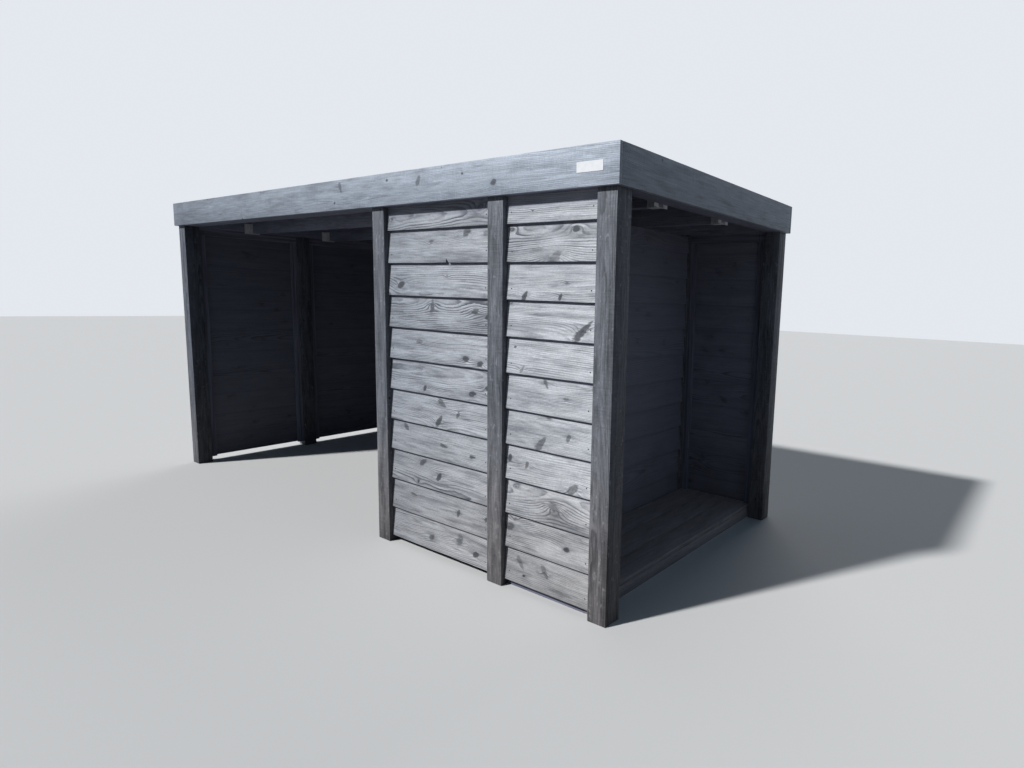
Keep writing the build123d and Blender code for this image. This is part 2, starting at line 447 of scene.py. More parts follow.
# Knots that show on the front boards. The key is the row, counted from the lowest board. Each
# knot has its place along the board and above its lower edge, as shares, its radius in metres,
# its lean in degrees, how many times longer than wide it is, and how faint it is from 0 to 3
FRONT_KNOTS = {
    "front_narrow_panel": {
        10: ((0.30, 0.30, 0.005, 10, 1.2, 2),),
        9: ((0.76, 0.80, 0.014, 5, 1.4, 0), (0.55, 0.09, 0.021, 38, 2.0, 2), (0.05, 0.86, 0.010, 5, 1.5, 1)),
        8: ((0.22, 0.10, 0.012, 58, 2.2, 0), (0.62, 0.12, 0.008, 65, 2.0, 0), (0.68, 0.46, 0.005, -5, 2.0, 2)),
        7: ((0.855, 0.27, 0.015, 42, 4.2, 0), (0.04, 0.90, 0.006, 10, 1.6, 2)),
        6: ((0.10, 0.72, 0.006, 20, 1.4, 1), (0.20, 0.14, 0.007, 50, 2.6, 2)),
        5: ((0.46, 0.84, 0.009, -58, 2.6, 1), (0.70, 0.50, 0.006, 0, 2.6, 2), (0.97, 0.85, 0.008, 60, 1.6, 2)),
        4: ((0.43, 0.20, 0.015, 52, 2.8, 1), (0.73, 0.48, 0.011, 70, 1.6, 1), (0.50, 0.92, 0.006, 0, 2.6, 2)),
        3: ((0.05, 0.60, 0.012, 80, 1.5, 0), (0.26, 0.50, 0.010, 70, 1.8, 1), (0.79, 0.14, 0.018, 40, 2.0, 1)),
        2: ((0.58, 0.45, 0.024, -40, 1.7, 2), (0.12, 0.80, 0.008, 0, 2.2, 2)),
        1: ((0.73, 0.45, 0.011, 5, 1.6, 0), (0.05, 0.60, 0.018, 20, 1.8, 1), (0.12, 0.85, 0.008, 10, 2.0, 2)),
        0: ((0.19, 0.60, 0.012, -50, 3.0, 2), (0.48, 0.60, 0.013, -52, 2.6, 2), (0.24, 0.28, 0.006, 20, 1.4, 0)),
    },
    "front_wide_panel": {
        10: ((0.91, 0.50, 0.014, 15, 1.5, 1), (0.05, 0.35, 0.007, 0, 1.5, 1)),
        9: ((0.78, 0.86, 0.018, 30, 1.6, 1), (0.95, 0.80, 0.012, 10, 1.6, 2), (0.45, 0.62, 0.008, 5, 2.0, 2)),
        8: ((0.14, 0.33, 0.018, 25, 1.6, 0), (0.60, 0.60, 0.006, 0, 2.0, 2)),
        7: ((0.45, 0.72, 0.013, 88, 3.2, 2), (0.86, 0.62, 0.013, 10, 1.8, 1), (0.97, 0.48, 0.012, 20, 1.4, 0)),
        6: ((0.78, 0.24, 0.013, 5, 1.5, 0), (0.91, 0.14, 0.013, 10, 1.5, 0), (0.32, 0.60, 0.010, 8, 2.6, 2)),
        5: ((0.38, 0.18, 0.012, 60, 1.4, 0), (0.84, 0.24, 0.014, 10, 1.5, 0), (0.97, 0.46, 0.013, 20, 1.4, 0)),
        4: ((0.54, 0.78, 0.014, -30, 2.4, 1), (0.52, 0.22, 0.015, 54, 2.2, 0), (0.70, 0.52, 0.011, 60, 1.5, 1)),
        3: ((0.16, 0.80, 0.013, -38, 2.0, 1), (0.56, 0.46, 0.008, -6, 3.4, 1), (0.84, 0.34, 0.007, 0, 3.0, 0)),
        2: ((0.34, 0.78, 0.013, 35, 2.4, 1), (0.51, 0.44, 0.015, 50, 1.5, 0), (0.30, 0.12, 0.006, 70, 1.6, 0)),
        1: ((0.24, 0.62, 0.008, -8, 3.4, 2), (0.70, 0.48, 0.010, 72, 2.0, 1), (0.96, 0.55, 0.010, 60, 1.6, 1)),
        0: ((0.43, 0.40, 0.014, 30, 1.5, 1), (0.71, 0.62, 0.020, 72, 1.7, 2), (0.87, 0.36, 0.014, 10, 1.6, 0)),
    },
}
# Timber split out of the lower edge: row, place along the board, width and height
EDGE_CHIPS = {"front_wide_panel": {9: (0.605, 0.034, 0.020)}}
# How strongly the growth rings show on the front boards, from the lowest board up
FRONT_FIGURE = {
    "front_narrow_panel": (0.15, 0.3, 0.56, 0.12, 0.1, 0.05, 0.05, 0.08, 0.2, 0.56, 0.35),
    "front_wide_panel": (0.25, 0.3, 0.3, 0.35, 0.35, 0.56, 0.4, 0.8, 0.35, 0.35, 0.56),
}
# Panels that stay dark because the roof shelters them
SHELTERED_PANELS = ("partition_front_panel", "partition_rear_panel")


def panel_place(low, high, turn):
    """Where a panel's board frame starts, and the length of its boards."""
    corner = {
        0: (low.x, high.y),
        180: (high.x, low.y),
        -90: (high.x, high.y),
        90: (low.x, low.y),
    }[turn]
    length = high.x - low.x if turn in (0, 180) else high.y - low.y
    return Matrix.Translation((corner[0], corner[1], low.z)) @ Matrix.Rotation(math.radians(turn), 4, "Z"), length


def board_knots(node, row, length, width):
    """The knots seen on a front board, or chance ones."""
    seen = FRONT_KNOTS.get(node, {}).get(row)
    if seen is None:
        return scattered_knots(length, width)
    return [(at * length, up * BOARD_COVER, *shape) for at, up, *shape in seen]


def clad_panel(node, turn, nail_base):
    """The lapped boards of one panel and their nails."""
    low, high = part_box(node)
    start, run = panel_place(low, high, turn)
    length = run - 2 * END_GAP
    height = high.z - low.z
    rows = math.ceil(height / BOARD_COVER)
    last_width = height - (rows - 1) * BOARD_COVER
    bases = {BOARD_WIDTH: lap_board(length, BOARD_WIDTH), last_width: lap_board(length, last_width)}
    weathering = SHELTERED_WEATHERING if node in SHELTERED_PANELS else 1.0
    boards = []
    nails = []
    for row in range(rows):
        width = last_width if row == rows - 1 else BOARD_WIDTH
        board = copy_piece(bases[width])
        chip = EDGE_CHIPS.get(node, {}).get(row)
        if chip:
            split_edge(board, chip[0] * length, chip[1], chip[2], lambda co: co.z < EDGE_BAND)
        shown = FRONT_FIGURE.get(node)
        figure = shown[row] if shown else chance.uniform(0.1, 0.7)
        if figure > BOLD_FIGURE:
            pith = (width / 2 + chance.uniform(-0.06, 0.06), chance.uniform(0.02, 0.06))
        else:
            pith = (width / 2 + chance.choice((-1, 1)) * chance.uniform(0.08, 0.3), chance.uniform(0.02, 0.12))
        mark_timber(
            board,
            "xzy",
            pith,
            knots=board_knots(node, row, length, width),
            tone=chance.uniform(0.94, 1.06),
            exposed=lambda co: weathering if on_face(co) else BACK_WEATHERING,
            ring_scale=chance.uniform(0.9, 1.15) if figure > BOLD_FIGURE else chance.uniform(1.0, 1.6),
            figure=figure,
        )
        lift = row * BOARD_COVER
        lean = Matrix.Rotation(math.radians(chance.uniform(-0.06, 0.06)), 4, "Y")
        place = start @ Matrix.Translation((END_GAP + chance.uniform(-0.0008, 0.0008), 0, lift))
        board.data.transform(place @ lean)
        boards.append(board)
        for end in (NAIL_FROM_END, length - NAIL_FROM_END):
            up = NAIL_ABOVE_EDGE + chance.uniform(-0.006, 0.006)
            spot = (end + chance.uniform(-0.003, 0.003), -board_thickness(up), up)
            nails.append(copy_piece(nail_base, place @ Matrix.Translation(spot)))
    for base in bases.values():
        remove_piece(base)
    name = node.replace("_panel", "")
    boards = join_pieces(f"{name}_boards", boards)
    warp(boards, "Z", BOARD_UNEVEN, BOARD_WAVE)
    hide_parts(node)
    nails = join_pieces(f"{name}_nails", nails)
    return boards, nails


nail_base = nail()
cladding = []
nails = []
for node, turn in PANELS:
    board_piece, nail_piece = clad_panel(node, turn, nail_base)
    cladding.append(board_piece)
    nails.append(nail_piece)
remove_piece(nail_base)

# Posts
posts = []
for node in sorted(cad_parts):
    if node.endswith("_post"):
        low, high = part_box(node)
        posts.append(timber(
            f"{node}_timber", low, high, POST_ARRIS, POST_CUTS, (node,), uneven=POST_UNEVEN))

# Beams and purlins
framing = []
for node in ("front_beam", "rear_beam", "left_beam", "right_beam", "front_purlin", "rear_purlin"):
    low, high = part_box(node)
    framing.append(timber(f"{node}_timber", low, high, BEAM_ARRIS, 0, (node,)))

# Roof edge boards. The front one has small splits in its edges, here with their place along X, their
# width and their depth, which is below zero at the lower edge, and a few knots
FRONT_SPLITS = (
    (-1.984, 0.024, 0.009),
    (-1.546, 0.022, 0.012),
    (-0.754, 0.020, 0.010),
    (-0.327, 0.020, 0.008),
    (-1.023, 0.016, -0.010),
)
FRONT_FASCIA_KNOTS = (
    (2.34, 0.125, 0.012, -70, 2.4, 1),
    (3.05, 0.108, 0.014, 60, 2.0, 1),
    (3.605, 0.060, 0.013, 15, 1.4, 0),
)
# The right edge board's lower tone is painted shade
FASCIA_TONES_AND_SHADE = {"front_fascia": 1.0, "rear_fascia": 0.95, "left_fascia": 1.0, "right_fascia": 0.84}
fascias = []
for node, tone in FASCIA_TONES_AND_SHADE.items():
    low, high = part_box(node)
    front = node == "front_fascia"
    fascias.append(timber(
        f"{node}_board", low, high, FASCIA_ARRIS, FASCIA_CUTS, (node,), tone, FASCIA_UNEVEN,
        splits=FRONT_SPLITS if front else (),
        knots=FRONT_FASCIA_KNOTS if front else (),
        figure=0.12,
    ))

# Roof deck: planks from front to back
low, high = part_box("roof_deck")
planks = []
count = round((high.x - low.x) / DECK_PLANK)
step = (high.x - low.x) / count
for number in range(count):
    start = low.x + number * step
    plank = timber(
        f"deck_plank_{number}",
        Vector((start, low.y, low.z)),
        Vector((start + step, high.y, high.z)),
        DECK_GROOVE,
    )
    planks.append(plank)
deck = join_pieces("roof_deck_planks", planks)
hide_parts("roof_deck")

# Floor planks of the end store
low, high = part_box("store_floor")
edges = (0, *FLOOR_JOINTS, high.x - low.x)
planks = []
for number in range(len(edges) - 1):
    left = low.x + edges[number] + (FLOOR_GAP / 2 if number else 0)
    right = low.x + edges[number + 1] - (FLOOR_GAP / 2 if number < len(edges) - 2 else 0)
    planks.append(timber(
        f"floor_plank_{number}",
        Vector((left, low.y, low.z)),
        Vector((right, high.y, high.z)),
        FLOOR_ARRIS,
        FLOOR_CUTS,
    ))
store_floor = join_pieces("store_floor_planks", planks)
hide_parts("store_floor")
low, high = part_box("store_floor_edge")
floor_edge = timber("store_floor_joist", low, high, FLOOR_ARRIS, FLOOR_CUTS, ("store_floor_edge",))

# Roof sheet, dressed up against the edge boards
low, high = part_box("roof_covering")
sheet = start_block(low, high)
name_piece(sheet, "roof_sheet_field")
edit(sheet, "FACE")
pick_faces(sheet, lambda middle, normal: normal.z > 0.9)
bpy.ops.mesh.inset(thickness=SHEET_TURN)
bpy.ops.mesh.select_all(action="DESELECT")
pick_faces(sheet, lambda middle, normal: normal.z > 0.9 and (
    abs(middle.x) > high.x - SHEET_TURN or abs(middle.y) > high.y - SHEET_TURN))
bpy.ops.mesh.extrude_region_move(TRANSFORM_OT_translate={"value": (0, 0, SHEET_UPSTAND)})
leave_edit()
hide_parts("roof_covering")

# Blank plate
low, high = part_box("blank_plate")
plate = start_block(low, high)
name_piece(plate, "front_plate")
edit(plate)
pick_edges(plate, lambda a, b: runs_along(a, b, 1))
bpy.ops.mesh.bevel(offset=PLATE_CORNER, segments=3, affect="EDGES")
leave_edit()
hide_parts("blank_plate")


# Shader helpers

def socket_in(tree, socket, value):
    """Sets a socket to a number, or links it."""
    if isinstance(value, bpy.types.NodeSocket):
        tree.links.new(value, socket)
    else:
        socket.default_value = value


def math_of(tree, operation, *values, clamp=False):
    """The result of a Math node."""
    node = tree.nodes.new("ShaderNodeMath")
    node.operation = operation
    node.use_clamp = clamp
    for socket, value in zip(node.inputs, values):
        socket_in(tree, socket, value)
    return node.outputs[0]


def vector_of(tree, operation, *values):
    """The result of a Vector Math node."""
    node = tree.nodes.new("ShaderNodeVectorMath")
    node.operation = operation
    for socket, value in zip(node.inputs, values):
        socket_in(tree, socket, value)
    return node.outputs["Value" if operation in ("LENGTH", "DOT_PRODUCT") else "Vector"]


def noise_of(tree, vector, stretch, detail=2.0, roughness=0.5):
    """Noise on a stretched vector, from 0 to 1."""
    node = tree.nodes.new("ShaderNodeTexNoise")
    socket_in(tree, node.inputs["Vector"], vector_of(tree, "MULTIPLY", vector, stretch))
    node.inputs["Scale"].default_value = 1.0
    node.inputs["Detail"].default_value = detail
    node.inputs["Roughness"].default_value = roughness
    return node.outputs[0]


def range_of(tree, value, from_low, from_high, to_low=0.0, to_high=1.0, smooth=True):
    """A value moved from one range to another."""
    node = tree.nodes.new("ShaderNodeMapRange")
    node.interpolation_type = "SMOOTHSTEP" if smooth else "LINEAR"
    socket_in(tree, node.inputs["Value"], value)
    node.inputs["From Min"].default_value = from_low
    node.inputs["From Max"].default_value = from_high
    node.inputs["To Min"].default_value = to_low
    node.inputs["To Max"].default_value = to_high
    return node.outputs["Result"]


def mix_of(tree, factor, first, second, blend="MIX"):
    """A mix of two colours."""
    node = tree.nodes.new("ShaderNodeMix")
    node.data_type = "RGBA"
    node.blend_type = blend
    socket_in(tree, node.inputs["Factor"], factor)
    for name, value in (("A", first), ("B", second)):
        socket = next(s for s in node.inputs if s.name == name and s.type == "RGBA")
        socket_in(tree, socket, value)
    return next(s for s in node.outputs if s.type == "RGBA")


def times_of(tree, colour, factor):
    """A colour multiplied by a number or by another colour."""
    return mix_of(tree, 1.0, colour, factor, "MULTIPLY")


def bell_of(tree, value, rate):
    """1 where a value is nil, fading towards 0 on both sides."""
    return math_of(tree, "EXPONENT", math_of(tree, "MULTIPLY", math_of(tree, "MULTIPLY", value, value), -rate))


def parts_of(tree, vector):
    """The X, Y and Z of a vector."""
    node = tree.nodes.new("ShaderNodeSeparateXYZ")
    tree.links.new(vector, node.inputs[0])
    return node.outputs


def object_place(tree):
    """The place in the shelter's own frame."""
    return tree.nodes.new("ShaderNodeTexCoord").outputs["Object"]


def add_relief(tree, shader, height, strength, depth):
    """Fine relief on a finish, from a height."""
    bump = tree.nodes.new("ShaderNodeBump")
    bump.inputs["Strength"].default_value = strength
    bump.inputs["Distance"].default_value = depth
    tree.links.new(height, bump.inputs["Height"])
    tree.links.new(bump.outputs["Normal"], shader.inputs["Normal"])


def attribute_of(tree, name):
    """A vector attribute of the mesh."""
    node = tree.nodes.new("ShaderNodeAttribute")
    node.attribute_name = name
    return node.outputs["Vector"]


def new_group(name, inputs, outputs):
    """An empty shader group with its sockets."""
    group = bpy.data.node_groups.new(name, "ShaderNodeTree")
    for socket_name, kind, value in inputs:
        socket = group.interface.new_socket(socket_name, in_out="INPUT", socket_type=kind)
        if value is not None:
            socket.default_value = value
    for socket_name, kind in outputs:
        group.interface.new_socket(socket_name, in_out="OUTPUT", socket_type=kind)
    return group, group.nodes.new("NodeGroupInput"), group.nodes.new("NodeGroupOutput")


def build_grain_group():
    """Growth rings, fibres and knots of a timber, from its place in the log."""
    group, given, result = new_group(
        "timber_grain",
        (
            ("Place", "NodeSocketVector", None),
            *((knot, "NodeSocketVector", None) for knot in KNOT_SOCKETS),
            ("Ring Width", "NodeSocketFloat", 0.007),
            ("Loose Knots", "NodeSocketFloat", 0.0),
            ("Figure", "NodeSocketFloat", 0.5),
        ),
        (
            ("Late", "NodeSocketFloat"),
            ("Fibre", "NodeSocketFloat"),
            ("Cloud", "NodeSocketFloat"),
            ("Knot", "NodeSocketFloat"),
            ("Halo", "NodeSocketFloat"),
            ("Height", "NodeSocketFloat"),
        ),
    )
    place = given.outputs["Place"]

    def centred(stretch, detail=2.0, roughness=0.5):
        return math_of(group, "SUBTRACT", noise_of(group, place, stretch, detail, roughness), 0.5)

    # Rings around the pith, with the log's taper, sway and small waves
    figure = given.outputs["Figure"]
    rings = vector_of(group, "LENGTH", vector_of(group, "MULTIPLY", place, (0.0, 1.0, 1.0)))
    rings = math_of(group, "MULTIPLY_ADD", parts_of(group, place)["X"], 0.020, rings)
    sway = math_of(group, "MULTIPLY", centred((1.8, 4.0, 4.0), 1.0), 0.050)
    sway = math_of(group, "MULTIPLY_ADD", centred((6.0, 16.0, 16.0)), 0.016, sway)
    sway = math_of(group, "MULTIPLY_ADD", centred((26.0, 60.0, 60.0)), 0.004, sway)
    rings = math_of(group, "MULTIPLY_ADD", sway, range_of(group, figure, 0.0, 1.0, 0.2, 1.0, False), rings)

    # Knots push the rings aside and stand dark among them
    ragged = centred((30.0, 75.0, 75.0), 4.0, 0.65)
    fibre = centred((7.0, 110.0, 110.0), 4.0, 0.65)
    core = halo = tail = None
    for name in KNOT_SOCKETS:
        code = parts_of(group, given.outputs[name])["Z"]
        steps = math_of(group, "ROUND", math_of(group, "MULTIPLY", code, 1 / LEAN_SPAN))
        lean = math_of(group, "MULTIPLY_ADD", steps, -LEAN_SPAN, code)
        faint = math_of(group, "FLOOR", math_of(group, "MULTIPLY", steps, 1 / CODE_STEPS ** 2))
        steps = math_of(group, "MULTIPLY_ADD", faint, -CODE_STEPS ** 2, steps)
        radius = math_of(group, "FLOOR", math_of(group, "MULTIPLY", steps, 1 / CODE_STEPS))
        stretch = math_of(group, "MULTIPLY_ADD", radius, -CODE_STEPS, steps)
        stretch = math_of(group, "MULTIPLY", stretch, 1 / STRETCH_PARTS)
        flat = vector_of(group, "MULTIPLY", given.outputs[name], (1.0, 1.0, 0.0))
        turn = group.nodes.new("ShaderNodeVectorRotate")
        turn.rotation_type = "Z_AXIS"
        group.links.new(flat, turn.inputs["Vector"])
        group.links.new(math_of(group, "MULTIPLY", lean, -1.0), turn.inputs["Angle"])
        turned = parts_of(group, turn.outputs[0])
        reach = math_of(group, "DIVIDE", turned["X"], stretch)
        taper = range_of(group, stretch, 1.7, 3.0, 0.0, 0.45, False)
        taper = math_of(group, "MULTIPLY_ADD", taper, reach, 1.0)
        oval = group.nodes.new("ShaderNodeCombineXYZ")
        group.links.new(reach, oval.inputs["X"])
        group.links.new(math_of(group, "MULTIPLY", turned["Y"], taper), oval.inputs["Y"])
        away = vector_of(group, "LENGTH", oval.outputs[0])
        edge = math_of(group, "MULTIPLY_ADD", ragged, 1.3, away)
        inside = math_of(group, "MULTIPLY", range_of(group, edge, 1.0, 0.65), range_of(group, edge, 0.0, 0.45))
        spot = math_of(group, "MULTIPLY_ADD", inside, -0.10, 1.0)
        spot = math_of(group, "MULTIPLY", range_of(group, edge, 1.35, 0.75), spot)
        spot = math_of(group, "MULTIPLY", spot, math_of(group, "MULTIPLY_ADD", faint, -0.22, 1.0))
        spot = math_of(group, "MULTIPLY", spot, math_of(group, "MULTIPLY_ADD", fibre, 0.7, 1.0, clamp=True))
        core = spot if core is None else math_of(group, "MAXIMUM", core, spot)
        soft = bell_of(group, away, 0.16)
        halo = soft if halo is None else math_of(group, "MAXIMUM", halo, soft)
        thin = vector_of(group, "LENGTH", vector_of(group, "MULTIPLY", flat, (0.24, 0.55, 0.0)))
        thin = bell_of(group, thin, 1.0)
        tail = thin if tail is None else math_of(group, "MAXIMUM", tail, thin)
        reach = vector_of(group, "LENGTH", vector_of(group, "MULTIPLY", flat, (0.20, 0.42, 0.0)))
        push = math_of(group, "EXPONENT", math_of(group, "MULTIPLY", reach, -1.25))
        rings = math_of(group, "MULTIPLY_ADD", push, math_of(group, "MULTIPLY", radius, 0.0026), rings)

    # Small loose knots here and there
    cells = group.nodes.new("ShaderNodeTexVoronoi")
    group.links.new(vector_of(group, "MULTIPLY", place, (8.0, 12.0, 12.0)), cells.inputs["Vector"])
    cells.inputs["Scale"].default_value = 1.0
    cell_split = group.nodes.new("ShaderNodeSeparateColor")
    group.links.new(cells.outputs["Color"], cell_split.inputs[0])
    size = range_of(group, cell_split.outputs[0], 0.3, 1.0, 0.0, 0.12, False)
    size = math_of(group, "MULTIPLY", size, given.outputs["Loose Knots"])
    away = math_of(group, "DIVIDE", cells.outputs["Distance"], math_of(group, "ADD", size, 0.0005))
    rings = math_of(group, "MULTIPLY_ADD", bell_of(group, away, 0.35), 0.020, rings)
    edge = math_of(group, "MULTIPLY_ADD", ragged, 0.9, away)
    core = math_of(group, "MAXIMUM", core, range_of(group, edge, 1.3, 0.7))

    # Late wood: dark, with a soft side and a sharp side, and uneven from ring to ring
    phase = math_of(group, "DIVIDE", rings, given.outputs["Ring Width"])
    number = math_of(group, "FLOOR", phase)
    uneven = group.nodes.new("ShaderNodeTexWhiteNoise")
    uneven.noise_dimensions = "1D"
    group.links.new(number, uneven.inputs["W"])
    phase = math_of(group, "FRACT", phase)
    rise = range_of(group, phase, 0.15, 0.82)
    fall = range_of(group, phase, 1.0, 0.88)
    late = math_of(group, "MULTIPLY", rise, fall)
    late = math_of(group, "POWER", late, range_of(group, figure, 0.0, 0.9, 2.6, 1.0, False))
    late = math_of(group, "MULTIPLY", late, range_of(group, uneven.outputs["Value"], 0.0, 1.0, 0.45, 1.1, False))
    patch = noise_of(group, place, (3.0, 14.0, 14.0), 4.0, 0.6)
    late = math_of(group, "MULTIPLY", late, range_of(group, patch, 0.36, 0.62, 0.3, 1.15))
    late = math_of(group, "MULTIPLY", late, range_of(group, figure, 0.0, 0.9, 0.6, 1.0, False))
    late = math_of(group, "MULTIPLY", late, math_of(group, "MULTIPLY_ADD", halo, 0.9, 1.0))
    smear = noise_of(group, place, (12.0, 44.0, 44.0), 4.0)
    shade = math_of(group, "MULTIPLY", tail, range_of(group, smear, 0.42, 0.6, 0.0, 0.85))
    late = math_of(group, "MAXIMUM", late, shade)
    cloud = noise_of(group, place, (2.2, 12.0, 12.0), 5.0, 0.6)
    height = math_of(group, "MULTIPLY", late, 0.6)
    height = math_of(group, "ADD", height, fibre)
    height = math_of(group, "SUBTRACT", height, math_of(group, "MULTIPLY", core, 0.3))
    for name, value in (
        ("Late", late), ("Fibre", fibre), ("Cloud", cloud), ("Knot", core), ("Halo", halo), ("Height", height),
    ):
        group.links.new(value, result.inputs[name])
    return group


grain_group = build_grain_group()
# The black stain; its blue cast is painted sky light in the shade
SKY_TINTED_STAIN_BLACK = (0.205, 0.212, 0.285)
SPECK_GREY = (0.34, 0.36, 0.40, 1)
# Painted shade: just under the roof edge, and under each lap, the boards are darkened towards the black stain
# where shadow falls.
# The first pair is in metres above the ground, and the second in shares of a board's cover
EAVES_SHADE = (1.835, 1.875)
LAP_SHADE = (0.905, 0.940)
LOWEST_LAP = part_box("front_wide_panel")[0].z / BOARD_COVER


def new_material(name):
    """An empty material with its Principled BSDF."""
    material = bpy.data.materials.new(name)
    material.use_nodes = True
    return material, material.node_tree, material.node_tree.nodes["Principled BSDF"]


def timber_material(name, light, dark, knot, ring_width, contrast, loose_knots=0.0, sheen_fade_low_tones=(1.0, 1.0),
                    sheen_fade_left_tone=1.0, sheen_fade_left_span=(-2.0, 2.2), sheen=0.5, saw=0.03, streaks=0.30, bands=0.13,
                    specks=0.0, eaves_shade=0.0, bounce_tint=(1.05, 1.0, 0.95)):
    """Stained timber: light and dark are the weathered face, which gives way to the black stain in shelter and in
    painted shade under the roof edge and the laps.
    """
    material, tree, shader = new_material(name)
    grain = tree.nodes.new("ShaderNodeGroup")
    grain.node_tree = grain_group
    place = attribute_of(tree, "grain")
    tree.links.new(place, grain.inputs["Place"])
    for socket, attribute in zip(KNOT_SOCKETS, KNOT_NAMES):
        tree.links.new(attribute_of(tree, attribute), grain.inputs[socket])
    grain.inputs["Ring Width"].default_value = ring_width
    grain.inputs["Loose Knots"].default_value = loose_knots
    finish = parts_of(tree, attribute_of(tree, "finish"))
    tree.links.new(finish["Z"], grain.inputs["Figure"])

    # Rings, with the stain gathered in patches and paler wood around the knots
    lines = math_of(tree, "MULTIPLY", grain.outputs["Late"], contrast)
    colour = mix_of(tree, lines, (*light, 1), (*dark, 1))
    patches = range_of(tree, grain.outputs["Cloud"], 0.46, 0.74, 0.0, 0.6)
    colour = mix_of(tree, patches, colour, (*dark, 1))
    pale = tuple(min(1.0, 1.18 * part) for part in light)
    colour = mix_of(tree, math_of(tree, "MULTIPLY", grain.outputs["Halo"], 0.22), colour, (*pale, 1))
    smears = noise_of(tree, place, (6.0, 34.0, 34.0), 4.0, 0.6)
    colour = mix_of(tree, range_of(tree, smears, 0.5, 0.72, 0.0, 0.48), colour, (*dark, 1))
    streak = range_of(tree, grain.outputs["Fibre"], -0.28, 0.28, 1.0 - streaks, 1.0 + streaks, False)
    colour = times_of(tree, colour, streak)
    fuzz = noise_of(tree, place, (100.0, 120.0, 120.0), 3.0, 0.7)
    colour = times_of(tree, colour, range_of(tree, fuzz, 0.25, 0.75, 0.82, 1.18, False))
    broad = noise_of(tree, place, (3.0, 26.0, 26.0), 3.0, 0.6)
    colour = times_of(tree, colour, range_of(tree, broad, 0.3, 0.7, 1.0 - bands, 1.0 + bands, False))

    # Saw marks across the grain, here and there
    sawn = math_of(tree, "SUBTRACT", noise_of(tree, place, (130.0, 9.0, 9.0), 2.0, 0.6), 0.5)
    sawn = math_of(tree, "MULTIPLY", sawn, range_of(tree, grain.outputs["Cloud"], 0.4, 0.6))
    colour = times_of(tree, colour, math_of(tree, "MULTIPLY_ADD", sawn, 4.0 * saw, 1.0))
    if specks:
        spots = noise_of(tree, place, (26.0, 44.0, 44.0), 2.0, 0.6)
        colour = mix_of(tree, range_of(tree, spots, 0.60, 0.76, 0.0, specks), colour, SPECK_GREY)
    colour = mix_of(tree, math_of(tree, "MULTIPLY", grain.outputs["Knot"], 0.96), colour, (*knot, 1))
    colour = times_of(tree, colour, finish["X"])

    # Where the weather doesn't reach, the black stain is left
    where = object_place(tree)
    level = parts_of(tree, where)
    black = mix_of(tree, lines, (*SKY_TINTED_STAIN_BLACK, 1), tuple(0.6 * part for part in SKY_TINTED_STAIN_BLACK) + (1,))
    exposed = finish["Y"]
    # Painted shade: darker black stain under the roof edge and under each lap
    if eaves_shade:
        under = range_of(tree, level["Z"], *EAVES_SHADE, 1.0, 1.0 - eaves_shade)
        exposed = math_of(tree, "MULTIPLY", exposed, under)
        laps = math_of(tree, "MULTIPLY_ADD", level["Z"], 1 / BOARD_COVER, 1 - LOWEST_LAP)
        under = range_of(tree, math_of(tree, "FRACT", laps), *LAP_SHADE, 1.0, 0.15)
        exposed = math_of(tree, "MULTIPLY", exposed, under)
    colour = mix_of(tree, exposed, black, colour)

    # Painted sheen: darker lower down, and darker and bluer towards its left end, where the sun's sheen fades
    uneven = math_of(tree, "MULTIPLY", noise_of(tree, where, (5.0, 5.0, 5.0), 3.0), 0.5)
    height = math_of(tree, "ADD", level["Z"], uneven)
    rise = range_of(tree, height, 0.25, 0.7, 0.0, 1.0, False)
    low_tone = range_of(tree, level["X"], 1.2, 1.7, *sheen_fade_low_tones, False)
    tone = math_of(tree, "MULTIPLY_ADD", math_of(tree, "SUBTRACT", 1.0, low_tone), rise, low_tone)
    colour = times_of(tree, colour, tone)
    along = math_of(tree, "ADD", level["X"], uneven)
    bluer = (0.95 * sheen_fade_left_tone, sheen_fade_left_tone, 1.07 * sheen_fade_left_tone, 1)
    along = mix_of(tree, range_of(tree, along, *sheen_fade_left_span, 0.0, 1.0, False), bluer, (1, 1, 1, 1))
    colour = times_of(tree, colour, along)
    # Painted warm light bounced from the ground, growing towards the foot
    bounce_warmed = times_of(tree, colour, (*bounce_tint, 1))
    colour = mix_of(tree, range_of(tree, height, 1.3, 0.3, 0.0, 1.0), colour, bounce_warmed)
    tree.links.new(colour, shader.inputs["Base Color"])
    dullness = range_of(tree, grain.outputs["Fibre"], -0.3, 0.3, 0.72, 0.54, False)
    tree.links.new(dullness, shader.inputs["Roughness"])
    shader.inputs["Specular IOR Level"].default_value = sheen
    add_relief(tree, shader, grain.outputs["Height"], 0.7, 0.0009)
    return material


def plain_material(name, first, second, scale, roughness, metallic=0.0):
    """A finish with two tones in soft patches."""
    material, tree, shader = new_material(name)
    patches = noise_of(tree, object_place(tree), (scale, scale, scale), 4.0)
    colour = mix_of(tree, range_of(tree, patches, 0.35, 0.65), (*first, 1), (*second, 1))
    tree.links.new(colour, shader.inputs["Base Color"])
    dullness = range_of(tree, patches, 0.3, 0.7, roughness - 0.08, roughness + 0.08)
    tree.links.new(dullness, shader.inputs["Roughness"])
    shader.inputs["Metallic"].default_value = metallic
    add_relief(tree, shader, patches, 0.3, 0.0005)
    return material


